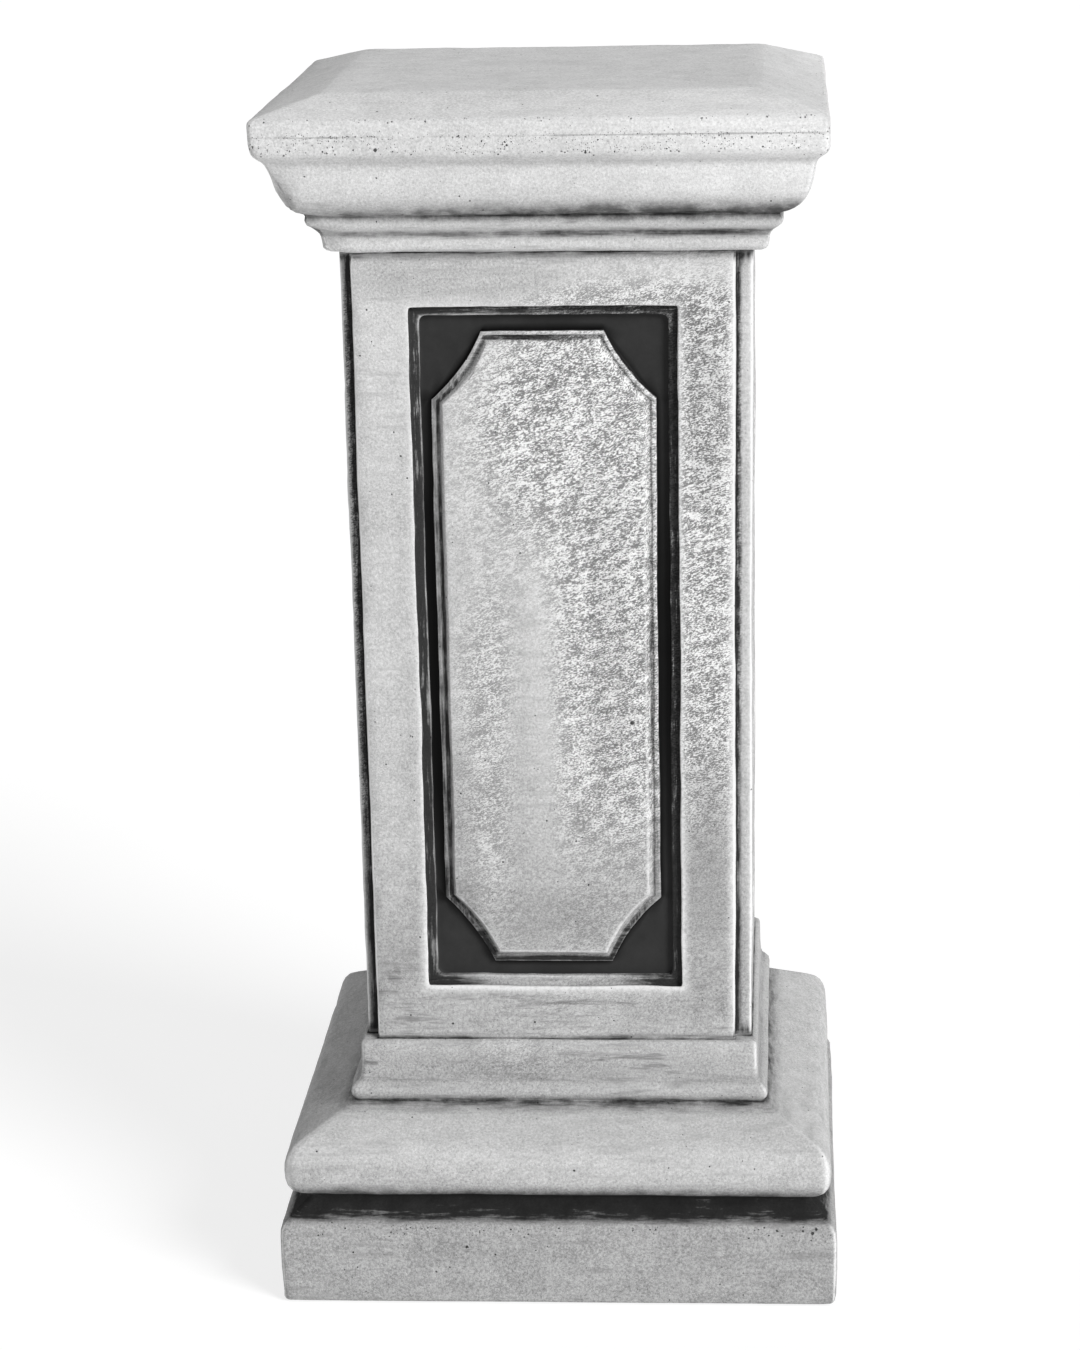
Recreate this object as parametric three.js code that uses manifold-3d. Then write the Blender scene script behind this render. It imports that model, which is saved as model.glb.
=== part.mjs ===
// A cast-stone garden pedestal, square on plan and made in one casting: a moulded base on a
// plinth, a shaft with rebated corners and a raised panel sunk in each face, and a moulded cap.
// Millimetres, +Z up, origin at the middle of the underside, the same on all four sides.
import * as THREE from 'three';
import { mergeVertices } from 'three/addons/utils/BufferGeometryUtils.js';
import Module from 'manifold-3d';

// Heights of the main stages, from the ground up
const plinthTop = 55.5;
const torusTop = 118;
const shaftFoot = 158.8;
const shaftHead = 663.4;
const fasciaFoot = 724;
const fasciaTop = 748.5;
const height = 760;

// Half widths of the main stages, from the middle to the flat of a side
const plinthHalf = 176;
const grooveHalf = 158;
const torusHalf = 172.8;
const neckHalf = 126.4;
const neckFilletHalf = 131.9;
const shaftHalf = 124;
const bandHalf = 133.8;
const beadHalf = 142.4;
const ovoloHalf = 162.4;
const fasciaHalf = 171;
const flatTopHalf = 132;
const hiddenHalf = 100;

// Rounding of the upright corners of the mouldings, and steps along one rounded stretch
const cornerRadius = 2.5;
const cornerSteps = 2;
const curveSteps = 7;

// Shaft: draft of a face from mid height to either end, square rebate at each corner, eased arris,
// and how far the shaft runs into the mouldings above and below
const draft = 1.5;
const rebate = 7.4;
const arris = 1.4;
const shaftSink = 6;

// Sunk frame on each face of the shaft: opening, ledge part way down, and ground
const openingHalf = 80.4;
const openingFoot = 194.4;
const openingHead = 629.4;
const ledgeWidth = 6.4;
const ledgeDepth = 4;
const groundDepth = 8;
const ease = 0.8;

// Raised panel: margins of ground around it, corner cuts and their hollow, and its border
const sideMargin = 6.4;
const endMargin = 9.3;
const cutAcross = 31;
const cutDown = 41;
const cutHollow = 2.8;
const cutSteps = 6;
const borderWidth = 2.8;
const creaseWidth = 1.4;
const creaseDepth = 1.2;
const fieldEdge = 1.2;

const faceCount = 4;

const wasm = await Module();
wasm.setup();

function toManifold(geometry) {
  const bare = geometry.clone();
  bare.deleteAttribute('normal');
  bare.deleteAttribute('uv');
  const merged = mergeVertices(bare, 1e-4);
  const vertProperties = new Float32Array(merged.attributes.position.array);
  const triVerts = new Uint32Array(merged.index.array);
  return new wasm.Manifold(new wasm.Mesh({ numProp: 3, vertProperties, triVerts }));
}

function toGeometry(manifold) {
  const mesh = manifold.getMesh();
  const geometry = new THREE.BufferGeometry();
  geometry.setAttribute('position', new THREE.BufferAttribute(new Float32Array(mesh.vertProperties), 3));
  geometry.setIndex(new THREE.BufferAttribute(new Uint32Array(mesh.triVerts), 1));
  geometry.computeVertexNormals();
  return geometry;
}

// Closed skin over a pile of outlines that all have the same number of points, each at its own
// level. The outlines run anticlockwise seen from above, and the two ends are filled flat.
function pileOutlines(outlines, levels) {
  const count = outlines[0].length;
  const positions = [];
  const faces = [];
  outlines.forEach((outline, level) => {
    outline.forEach((point) => positions.push(point.x, point.y, levels[level]));
  });
  for (let level = 0; level + 1 < outlines.length; level += 1) {
    for (let i = 0; i < count; i += 1) {
      const here = level * count + i;
      const next = level * count + ((i + 1) % count);
      faces.push(here, next, next + count);
      faces.push(here, next + count, here + count);
    }
  }
  const last = (outlines.length - 1) * count;
  const footFaces = THREE.ShapeUtils.triangulateShape(outlines[0], []);
  const headFaces = THREE.ShapeUtils.triangulateShape(outlines[outlines.length - 1], []);
  footFaces.forEach(([a, b, c]) => faces.push(a, c, b));
  headFaces.forEach(([a, b, c]) => faces.push(last + a, last + b, last + c));
  const geometry = new THREE.BufferGeometry();
  geometry.setAttribute('position', new THREE.Float32BufferAttribute(positions, 3));
  geometry.setIndex(faces);
  return geometry;
}

// Square of the given half width with its corners rounded
function roundedSquare(half) {
  const points = [];
  for (let corner = 0; corner < 4; corner += 1) {
    const start = corner * Math.PI / 2;
    const centre = new THREE.Vector2(half - cornerRadius, half - cornerRadius);
    centre.rotateAround(new THREE.Vector2(), start);
    for (let step = 0; step <= cornerSteps; step += 1) {
      const angle = start + (step / cornerSteps) * Math.PI / 2;
      const x = centre.x + cornerRadius * Math.cos(angle);
      const y = centre.y + cornerRadius * Math.sin(angle);
      points.push(new THREE.Vector2(x, y));
    }
  }
  return points;
}

// Moulding run round the square: each point of the path is a half width and a height
function runMoulding(path) {
  const points = path.getPoints(curveSteps);
  const outlines = points.map((point) => roundedSquare(point.x));
  return pileOutlines(outlines, points.map((point) => point.y));
}

// Plinth with a weathered shoulder, black groove, sloping torus, and the neck above its fillet
function baseMouldings() {
  const footRound = 3;
  const shoulderFoot = 46;
  const shoulderHalf = 169.5;
  const shoulderBow = 3;
  const grooveHeight = 65.5;
  const grooveGape = 2.4;
  const lipHalf = 166.6;
  const lipHeight = 70.5;
  const lipBow = 4;
  const noseHeight = 86;
  const slopeHalf = 165;
  const slopeHeight = 103;
  const slopeBow = 5.5;
  const slopeEnd = 133.9;
  const quirkDepth = 1.3;
  const quirkFoot = 119.4;
  const filletFoot = 122.8;
  const filletTop = 130.2;
  const coveTop = 137;
  const neckRound = 2.6;
  const path = new THREE.Path();
  path.moveTo(plinthHalf - footRound, 0);
  path.quadraticCurveTo(plinthHalf, 0, plinthHalf, footRound);
  path.lineTo(plinthHalf, shoulderFoot);
  path.quadraticCurveTo(plinthHalf, plinthTop - shoulderBow, shoulderHalf, plinthTop);
  path.lineTo(grooveHalf + grooveGape, grooveHeight - grooveGape);
  path.quadraticCurveTo(grooveHalf, grooveHeight, grooveHalf + grooveGape, grooveHeight + grooveGape);
  path.lineTo(lipHalf, lipHeight);
  path.quadraticCurveTo(torusHalf, lipHeight + lipBow, torusHalf, noseHeight);
  path.quadraticCurveTo(torusHalf, slopeHeight - slopeBow, slopeHalf, slopeHeight);
  path.lineTo(slopeEnd, torusTop);
  path.lineTo(neckFilletHalf - quirkDepth, quirkFoot);
  path.lineTo(neckFilletHalf - quirkDepth, filletFoot - quirkDepth / 2);
  path.lineTo(neckFilletHalf, filletFoot);
  path.lineTo(neckFilletHalf, filletTop);
  path.quadraticCurveTo(neckHalf, filletTop, neckHalf, coveTop);
  path.lineTo(neckHalf, shaftFoot - neckRound);
  path.quadraticCurveTo(neckHalf, shaftFoot, neckHalf - neckRound, shaftFoot);
  path.lineTo(hiddenHalf, shaftFoot);
  return runMoulding(path);
}

// Band, bead, ovolo, upright fascia and the hipped slope up to the flat top
function capMouldings() {
  const bandRound = 4.6;
  const bandTop = 673.6;
  const quirkDepth = 1;
  const beadFoot = 679.4;
  const beadReach = 2.4;
  const beadNose = 683;
  const beadTop = 686.6;
  const beadRound = 0.8;
  const ovoloFoot = 688.4;
  const ovoloFootHalf = 144.4;
  const ovoloBelly = 711.5;
  const ovoloBellyHalf = 160.8;
  const ovoloTop = 718;
  const fasciaRound = 3.6;
  const fasciaFootHalf = 166.8;
  const edge = 1.6;
  const crown = 0.2;
  const path = new THREE.Path();
  path.moveTo(hiddenHalf, shaftHead);
  path.lineTo(bandHalf - bandRound, shaftHead);
  path.quadraticCurveTo(bandHalf, shaftHead, bandHalf, shaftHead + bandRound);
  path.lineTo(bandHalf, bandTop);
  path.lineTo(bandHalf - quirkDepth, bandTop + quirkDepth);
  path.quadraticCurveTo(bandHalf - quirkDepth, beadFoot, beadHalf - beadReach, beadFoot);
  path.quadraticCurveTo(beadHalf, beadFoot, beadHalf, beadNose);
  path.quadraticCurveTo(beadHalf, beadTop - beadRound / 2, beadHalf - beadRound, beadTop);
  path.lineTo(beadHalf - beadRound, ovoloFoot - quirkDepth / 2);
  path.lineTo(ovoloFootHalf, ovoloFoot);
  path.quadraticCurveTo(ovoloBellyHalf - edge, ovoloFoot + edge, ovoloBellyHalf, ovoloBelly);
  path.lineTo(ovoloHalf, ovoloTop);
  path.quadraticCurveTo(ovoloHalf, fasciaFoot, fasciaFootHalf, fasciaFoot);
  path.quadraticCurveTo(fasciaHalf, fasciaFoot, fasciaHalf, fasciaFoot + fasciaRound);
  path.lineTo(fasciaHalf, fasciaTop - edge);
  path.lineTo(fasciaHalf - edge, fasciaTop);
  path.lineTo(flatTopHalf, height - crown);
  path.lineTo(flatTopHalf - edge, height);
  return runMoulding(path);
}

// Shaft: a square with a square rebate cut out of each corner and every outer arris eased
function shaftPrism() {
  const cheek = shaftHalf - rebate;
  const quarter = [
    new THREE.Vector2(shaftHalf, -cheek + arris),
    new THREE.Vector2(shaftHalf, cheek - arris),
    new THREE.Vector2(shaftHalf - arris, cheek),
    new THREE.Vector2(cheek, cheek),
    new THREE.Vector2(cheek, shaftHalf - arris),
  ];
  const outline = [];
  for (let side = 0; side < faceCount; side += 1) {
    const turn = side * Math.PI / 2;
    quarter.slice(1).forEach((point) => {
      outline.push(point.clone().rotateAround(new THREE.Vector2(), turn));
    });
    const nextStart = quarter[0].clone().rotateAround(new THREE.Vector2(), turn + Math.PI / 2);
    outline.push(nextStart);
  }
  return pileOutlines([outline, outline], [shaftFoot - shaftSink, shaftHead + shaftSink]);
}

// Rectangle of the opening drawn in by an inset, in the plane of a face
function openingOutline(inset) {
  const across = openingHalf - inset;
  const foot = openingFoot + inset;
  const head = openingHead - inset;
  return [
    new THREE.Vector2(-across, foot),
    new THREE.Vector2(across, foot),
    new THREE.Vector2(across, head),
    new THREE.Vector2(-across, head),
  ];
}

// One quarter of the panel's outline: the corner cut, hollowed by a shallow arc, from the upright
// edge to the level edge. The cut moves in with the inset as the edges do.
function panelCorner(half, rise, inset) {
  const reach = Math.hypot(cutAcross, cutDown);
  const cutLine = cutDown * half + cutAcross * (rise - cutDown) - inset * reach;
  const edgeX = half - inset;
  const edgeY = rise - inset;
  const start = new THREE.Vector2(edgeX, (cutLine - cutDown * edgeX) / cutAcross);
  const end = new THREE.Vector2((cutLine - cutAcross * edgeY) / cutDown, edgeY);
  const points = [];
  for (let step = 0; step <= cutSteps; step += 1) {
    const t = step / cutSteps;
    const hollow = cutHollow * 4 * t * (1 - t);
    const point = start.clone().lerp(end, t);
    point.x -= hollow * cutDown / reach;
    point.y -= hollow * cutAcross / reach;
    points.push(point);
  }
  return points;
}

// Long octagon of the raised panel drawn in by an inset, in the plane of a face
function panelOutline(inset) {
  const half = openingHalf - ledgeWidth - sideMargin;
  const rise = (openingHead - openingFoot) / 2 - ledgeWidth - endMargin;
  const middle = (openingHead + openingFoot) / 2;
  const upperRight = panelCorner(half, rise, inset);
  const upperLeft = upperRight.map((point) => new THREE.Vector2(-point.x, point.y)).reverse();
  const upper = [...upperRight, ...upperLeft];
  const lower = upper.map((point) => new THREE.Vector2(-point.x, -point.y));
  return [...upper, ...lower].map((point) => new THREE.Vector2(point.x, point.y + middle));
}

// Outlines of one kind piled on a face: each step is an inset and a level from the shaft's face
function pileOnFace(outlineAt, steps) {
  const outlines = steps.map(([inset]) => outlineAt(inset));
  return pileOutlines(outlines, steps.map(([, level]) => shaftHalf + level));
}

// Sunk frame as the block that is cut away, with its arrises eased
function sunkFrame() {
  return pileOnFace(openingOutline, [
    [ledgeWidth, -groundDepth],
    [ledgeWidth, -ledgeDepth - ease],
    [ledgeWidth - ease, -ledgeDepth],
    [0, -ledgeDepth],
    [0, -ease],
    [-ease, 0],
    [-ease, 1],
  ]);
}

// Raised panel: a narrow border, a crease, and the field flush with the face of the shaft
function raisedPanel() {
  const borderLevel = -ledgeDepth;
  const creaseLevel = borderLevel - creaseDepth;
  const creaseEnd = borderWidth + creaseWidth;
  return pileOnFace(panelOutline, [
    [0, -groundDepth - 1],
    [0, borderLevel - ease],
    [ease, borderLevel],
    [borderWidth, borderLevel],
    [borderWidth, creaseLevel],
    [creaseEnd, creaseLevel],
    [creaseEnd, -fieldEdge],
    [creaseEnd + fieldEdge, 0],
  ]);
}

// Turns a piece made in the plane of a face upright and round to side number k
function placeOnSide(geometry, side) {
  return geometry.clone().rotateX(Math.PI / 2).rotateZ(side * Math.PI / 2);
}

// Draws the shaft in towards its foot and lets it out towards its head, as its mould had it
function drawIn(geometry) {
  const middle = (shaftFoot + shaftHead) / 2;
  const place = geometry.attributes.position;
  for (let i = 0; i < place.count; i += 1) {
    const rise = (place.getZ(i) - middle) / (shaftHead - middle);
    const widen = 1 + rise * draft / shaftHalf;
    place.setXY(i, place.getX(i) * widen, place.getY(i) * widen);
  }
  return geometry;
}

function panelledShaft() {
  const frame = sunkFrame();
  const panel = raisedPanel();
  let solid = toManifold(shaftPrism());
  for (let side = 0; side < faceCount; side += 1) {
    solid = solid.subtract(toManifold(placeOnSide(frame, side)));
    solid = solid.add(toManifold(placeOnSide(panel, side)));
  }
  return drawIn(toGeometry(solid));
}

function pedestalSolid() {
  const shaft = toManifold(panelledShaft());
  return shaft.add(toManifold(baseMouldings())).add(toManifold(capMouldings()));
}

const castStone = new THREE.MeshStandardMaterial({ color: 0xc6c6c3, roughness: 0.92, metalness: 0 });
const pedestal = new THREE.Mesh(toGeometry(pedestalSolid()), castStone);
pedestal.name = 'pedestal';

const part = new THREE.Group();
part.add(pedestal);

export default part;
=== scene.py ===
import math

import bpy
import numpy as np
from mathutils import Matrix, Vector


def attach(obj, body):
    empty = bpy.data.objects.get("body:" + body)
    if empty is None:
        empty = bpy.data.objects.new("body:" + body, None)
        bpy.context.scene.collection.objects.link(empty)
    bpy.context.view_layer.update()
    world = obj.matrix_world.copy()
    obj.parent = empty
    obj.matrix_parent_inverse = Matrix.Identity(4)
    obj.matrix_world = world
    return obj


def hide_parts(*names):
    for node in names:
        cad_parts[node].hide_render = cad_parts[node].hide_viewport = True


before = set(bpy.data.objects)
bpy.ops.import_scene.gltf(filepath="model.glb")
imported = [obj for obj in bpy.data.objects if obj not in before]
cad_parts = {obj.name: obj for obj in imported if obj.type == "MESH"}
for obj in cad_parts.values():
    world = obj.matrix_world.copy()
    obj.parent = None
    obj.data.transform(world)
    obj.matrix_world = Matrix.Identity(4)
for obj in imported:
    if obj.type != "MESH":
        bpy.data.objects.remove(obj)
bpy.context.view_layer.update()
print("frame loaded:", sorted(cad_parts))

# Grid counts of the casting: steps across a side, up a face, round a corner, and rows of each stretch
gridSteps = {
    "edgeAcross": 24,
    "edgeUp": 60,
    "cut": 14,
    "corner": 12,
    "baseRows": 46,
    "capRows": 48,
    "faceRings": 41,
}
stepsAcross = gridSteps["edgeAcross"] + 2 * gridSteps["cut"]
stepsUp = gridSteps["edgeUp"] + 2 * gridSteps["cut"]


# Fractions from 0 to 1 in three stretches: the ends hold the given share each, and their steps
# shrink towards the outer ends by the power
def threeStretches(endShare, endSteps, middleSteps, power):
    end = endShare * np.linspace(0, 1, endSteps + 1) ** power
    middle = np.linspace(endShare, 1 - endShare, middleSteps + 1)
    return np.concatenate([end, middle[1:-1], 1 - end[::-1]])


acrossPart = 2 * threeStretches(0.29, gridSteps["cut"], gridSteps["edgeAcross"], 1.35) - 1
upPart = threeStretches(0.14, gridSteps["cut"], gridSteps["edgeUp"], 1.2)


# Random numbers on a cubic lattice, blended between the eight nearest by 3t^2 - 2t^3, from -1 to 1
def latticeNoise(points, pitch, seed):
    lattice = np.random.default_rng(seed).uniform(-1, 1, (32, 32, 32))
    where = points / pitch + 400.5
    cell = np.floor(where).astype(int)
    part = where - cell
    part = part * part * (3 - 2 * part)
    total = np.zeros(len(points))
    for corner in range(8):
        step = np.array([corner & 1, corner >> 1 & 1, corner >> 2 & 1])
        weight = np.prod(np.where(step == 1, part, 1 - part), axis=1)
        at = (cell + step) % 32
        total += weight * lattice[at[:, 0], at[:, 1], at[:, 2]]
    return total


# Path of straight and bent stretches: two numbers run straight to that point, four bend on the way
# towards the first pair, as a quadratic curve
def tracePath(start, stretches, step):
    here = np.array(start, float)
    points = [here[None]]
    for stretch in stretches:
        end = np.array(stretch[-2:], float)
        pull = np.array(stretch[:2], float) if len(stretch) == 4 else (here + end) / 2
        length = np.linalg.norm(pull - here) + np.linalg.norm(end - pull)
        t = np.linspace(0, 1, max(2, int(length / step)) + 1)[1:, None]
        points.append((1 - t) ** 2 * here + 2 * t * (1 - t) * pull + t * t * end)
        here = end
    return np.concatenate(points)


# Bell curve of a distance, 1 in the middle
def bell(distance, width):
    return np.exp(-0.5 * (distance / width) ** 2)


# Running average with a bell curve of the given width; the ends are kept by turning the path about them
def bellAverage(values, width, step):
    reach = int(4 * width / step)
    weights = bell(np.arange(-reach, reach + 1) * step, width)
    before = 2 * values[:1] - values[reach:0:-1]
    after = 2 * values[-1:] - values[-2:-reach - 2:-1]
    padded = np.concatenate([before, values, after])
    return np.stack([np.convolve(column, weights / weights.sum(), "valid") for column in padded.T], 1)


# Sum of a path's bend near each point, weighed by a bell curve, so that a square arris or crease gives 1
def bendNear(bend, width, step):
    reach = int(4 * width / step)
    weights = bell(np.arange(-reach, reach + 1) * step, width)
    return np.convolve(bend, weights, "same") / (math.pi / 2)


# Softened section of the casting: the path in equal steps with every arris and crease turned softly,
# thinned to rows that gather where it bends, with how much arris, crease and broad painted shade about
# the hollows each row holds.
# outward is 1 where the stone lies to the left of the path and -1 where it lies to the right.
def softSection(path, rows, soft, longest, outward, step=0.15):
    gaps = np.linalg.norm(np.diff(path, axis=0), axis=1)
    run = np.concatenate([[0], np.cumsum(gaps)])
    even = np.linspace(0, run[-1], int(run[-1] / step) + 1)
    points = np.stack([np.interp(even, run, path[:, i]) for i in range(2)], 1)
    points = bellAverage(points, soft, step)
    heading = np.unwrap(np.arctan2(*np.gradient(points, axis=0).T[::-1]))
    bend = np.gradient(heading) * outward
    hollow = np.clip(-bend, 0, None)
    masks = {
        "arris": np.clip(bendNear(np.clip(bend, 0, None), 1.1, step), 0, 1),
        "crease": np.clip(bendNear(hollow, 1.9, step), 0, 1),
        # broad darkening about the hollows: painted shade
        "grime": np.clip(bendNear(hollow, 4.5, step), 0, 1),
        "steep": 0.4 + 0.6 * np.abs(np.sin(heading)),
    }
    density = step / longest + bendNear(np.abs(bend), 0.7, step) ** 0.5 * step * 1.6
    walked = np.concatenate([[0], np.cumsum(density)[1:]])
    chosen = np.interp(np.linspace(0, walked[-1], rows + 1), walked, np.arange(len(points)))
    rowsOf = {name: np.interp(chosen, np.arange(len(points)), values) for name, values in masks.items()}
    section = np.stack([np.interp(chosen, np.arange(len(points)), points[:, i]) for i in range(2)], 1)
    return section, rowsOf


# Places on one side of the square (across, outward) turned to the four sides, anticlockwise from the front
def turnToSides(across, outward):
    turns = [(across, -outward), (outward, across), (-across, outward), (-outward, -across)]
    return [np.stack(turn, -1) for turn in turns]


# Rings of a moulding, one for each half width: straight stretches across the sides, and a quarter
# circle of the row's radius at each corner
def squareRings(halves, radius):
    halves = np.asarray(halves, float)[:, None]
    bend = np.minimum(np.reshape(radius, (-1, 1)), 0.2 * halves)
    straight = halves - 1.5 * bend
    turn = np.linspace(0, math.pi / 2, gridSteps["corner"] - 1)[None]
    centre = halves - bend
    across = np.concatenate([straight * acrossPart, centre + bend * np.sin(turn)], 1)
    outward = np.concatenate([halves * np.ones_like(acrossPart)[None], centre + bend * np.cos(turn)], 1)
    return np.concatenate(turnToSides(across, outward), 1)


shaftSize = {
    "foot": 158.8,
    "head": 663.4,
    "half": 124.0,
    "draft": 1.5,
    "rebate": 8.8,
    "shift": -1.5,
    "arris": 1.7,
    "hollow": 1.3,
    "footFillet": 1.0,
    "headFillet": 1.6,
}
cheek = shaftSize["half"] - shaftSize["rebate"]
slabEnd = cheek - shaftSize["arris"]
slabFoot = shaftSize["foot"] + shaftSize["footFillet"]
slabHead = shaftSize["head"] - shaftSize["headFillet"]


# The shaft widens evenly from foot to head, by the draft of its mould about mid height
def widening(z):
    middle = (shaftSize["foot"] + shaftSize["head"]) / 2
    return 1 + (z - middle) / (shaftSize["head"] - middle) * shaftSize["draft"] / shaftSize["half"]


# Half of a rebate's section as (across, outward), for walls at these distances: eased arris, wall, and half
# of the hollow
def rebateLeg(half, near, far):
    arris, hollow = shaftSize["arris"], shaftSize["hollow"]
    turn = np.linspace(0, math.pi / 2, 4)
    first = np.stack([near - arris + arris * np.sin(turn), half - arris + arris * np.cos(turn)], 1)
    curl = np.array([0, math.pi / 4])
    bed = np.stack([near + hollow - hollow * np.cos(curl), far + hollow - hollow * np.sin(curl)], 1)
    between = (first[-1] + bed[0]) / 2
    return np.concatenate([first, between[None], bed])


# Corner of the shaft from the flat of one side to the next, moved out by the swell; the faces sit a little
# to the left, so the second wall is the wider
def rebatePath(swell):
    half = shaftSize["half"] + swell
    near = cheek + shaftSize["shift"] + swell
    far = cheek - shaftSize["shift"] + swell
    return np.concatenate([rebateLeg(half, near, far), rebateLeg(half, far, near)[-2::-1, ::-1]])


# One ring round the shaft, with its corner rebates, moved out by the swell
def shaftRing(swell, z):
    corner = rebatePath(swell)
    across = np.concatenate([(slabEnd + swell) * acrossPart + shaftSize["shift"], corner[1:-1, 0]])
    outward = np.concatenate([np.full(len(acrossPart), shaftSize["half"] + swell), corner[1:-1, 1]])
    ring = np.concatenate(turnToSides(across, outward)) * widening(z)
    return np.concatenate([ring, np.full((len(ring), 1), z)], 1)


# Strip of quads over a grid of numbered points, closed round if it wraps
def gridQuads(rows, columns, first, wraps):
    numbers = first + np.arange(rows * columns).reshape(rows, columns)
    if wraps:
        numbers = np.concatenate([numbers, numbers[:, :1]], 1)
    corners = numbers[:-1, :-1], numbers[:-1, 1:], numbers[1:, 1:], numbers[1:, :-1]
    return np.stack(corners, -1).reshape(-1, 4)


maskNames = ("arris", "crease", "grime", "ground", "shade", "upright")
shell = {"points": [], "quads": [], "count": 0, **{name: [] for name in maskNames}}


# Adds a grid of points to the shell, with its masks spread over the grid
def addGrid(points, wraps, **masks):
    rows, columns = points.shape[:2]
    shell["quads"].append(gridQuads(rows, columns, shell["count"], wraps))
    shell["points"].append(points.reshape(-1, 3))
    for name in maskNames:
        spread = np.broadcast_to(masks.get(name, 0.0), (rows, columns))
        shell[name].append(spread.reshape(-1).astype(float))
    shell["count"] += rows * columns


cornerTurn = np.linspace(0, math.pi, gridSteps["corner"] - 1)
cornerArris = np.concatenate([np.zeros(stepsAcross + 1), np.sin(cornerTurn) ** 3])
cornerArris = np.tile(cornerArris, 4)


# Moulding: every row of the section becomes a ring, joined at the shaft by the rings of its fillet.
# The mitres count as faint arrises where the section stands steep.
def addMoulding(section, masks, moulding, radius, endRings, endCrease, shaftFirst):
    flat = squareRings(section[:, 0], radius)
    level = np.broadcast_to(section[:, 1, None, None], flat.shape[:2] + (1,))
    rings = np.concatenate([flat, level], 2)

    def withEnds(rows, ends):
        return np.concatenate([ends, rows] if shaftFirst else [rows, ends])

    endMask = np.array(endCrease)
    crease = withEnds(masks["crease"], endMask)
    grime = withEnds(masks["grime"], 0.6 * endMask)
    arris = withEnds(masks["arris"] * moulding["rubbed"], 0 * endMask)
    steep = withEnds(masks["steep"], 0 * endMask)
    mitre = moulding["mitre"] * cornerArris[None] * (steep * np.clip(1 - 2 * crease, 0, 1))[:, None]
    addGrid(withEnds(rings, np.stack(endRings)), True, arris=np.maximum(arris[:, None], mitre),
            crease=crease[:, None], grime=grime[:, None])


baseMoulding = {
    "start": (0.0, 0.0),
    "path": [
        (171.0, 0.0),
        (176.0, 0.0, 176.0, 5.0),
        (176.0, 46.0),
        (176.0, 52.5, 169.5, 55.5),
        (160.4, 63.1),
        (158.0, 65.5, 160.4, 67.9),
        (166.6, 70.5),
        (172.8, 74.5, 172.8, 86.0),
        (172.8, 97.5, 165.0, 103.0),
        (133.6, 118.2),
        (130.4, 119.6),
        (130.4, 121.6),
        (132.8, 121.8, 132.8, 125.4),
        (132.8, 128.8, 131.0, 130.2),
        (127.0, 132.2, 126.6, 138.0),
        (126.4, 155.8),
        (126.4, 158.8, 123.8, 158.8),
    ],
    "soft": 1.1,
    "longest": 9.0,
    "radius": 4.0,
    "torusRadius": 8.0,
    "torusMiddle": 84.0,
    "neckCrease": 119.6,
    "rubbed": 0.4,
    "mitre": 0.6,
    "plinthFace": 175.0,
    "grooveLow": 51.5,
    "grooveBed": 61.0,
    "grooveHigh": 71.5,
    "slopeFoot": 90.0,
}


# Base: rings of the softened section. The wash fills the groove, fades down the plinth's shoulder and up
# under the torus, and lies thinly on the slope by an exponential below the neck's crease. Painted shade
# darkens the underside of the torus above the groove.
def makeBase():
    path = tracePath(baseMoulding["start"], baseMoulding["path"], 0.2)
    section, masks = softSection(
        path, gridSteps["baseRows"], baseMoulding["soft"], baseMoulding["longest"], 1)
    z = section[:, 1]
    low, bed, high = (baseMoulding[name] for name in ("grooveLow", "grooveBed", "grooveHigh"))
    neckCrease = baseMoulding["neckCrease"]
    depth = np.clip((z - low) / 9.0, 0, 1) * np.clip((high - z) / 3.0, 0, 1)
    depth = depth * (section[:, 0] < baseMoulding["plinthFace"])
    below = np.clip(neckCrease - z, 0, None)
    onSlope = np.exp(-below / 3.6) * (z > baseMoulding["slopeFoot"]) * (z < neckCrease + 1)
    bends = masks["crease"] * (1 - 0.4 * bell(z - neckCrease - 1, 3.0))
    masks["crease"] = np.maximum.reduce([bends, 1.3 * depth, 0.66 * onSlope])
    inGroove = 0.9 * bell(z - bed, 5.0) * (z < bed + 5)
    # painted shade on the underside of the torus, above the groove
    shadeUnderTorus = 0.85 * bell(z - high, 4.6) * (z > high - 2)
    masks["grime"] = np.maximum.reduce([0.5 * masks["grime"], inGroove + 0.6 * onSlope, shadeUnderTorus])
    widen = bell(z - baseMoulding["torusMiddle"], 11.0)
    radius = baseMoulding["radius"] + (baseMoulding["torusRadius"] - baseMoulding["radius"]) * widen
    fillet = shaftSize["footFillet"]
    ends = [shaftRing(swell * fillet, shaftSize["foot"] + lift * fillet)
            for swell, lift in ((0.95, 0.0), (0.3, 0.3), (0.0, 1.0))]
    addMoulding(section, masks, baseMoulding, radius, ends, [0.4, 0.7, 0.45], False)


capMoulding = {
    "start": (129.2, 663.4),
    "path": [
        (134.6, 663.4, 135.2, 668.0),
        (135.8, 672.8),
        (135.8, 675.0, 139.4, 677.6),
        (143.8, 680.2, 144.2, 683.2),
        (144.4, 685.8, 143.0, 686.6),
        (142.8, 687.6),
        (145.0, 688.0),
        (155.0, 692.0, 159.2, 702.0),
        (161.6, 707.5, 162.9, 717.0),
        (163.4, 721.6, 166.4, 723.4),
        (168.6, 724.8),
        (171.4, 726.8, 171.4, 731.0),
        (171.4, 746.6),
        (169.6, 748.4),
        (131.0, 760.0),
        (0.0, 760.0),
    ],
    "ovoloFoot": 687.4,
    "hollow": 675.4,
    "fasciaFoot": 721.4,
    "soft": 0.9,
    "longest": 9.0,
    "radius": 3.4,
    "rubbed": 0.35,
    "mitre": 0.15,
}
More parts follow.
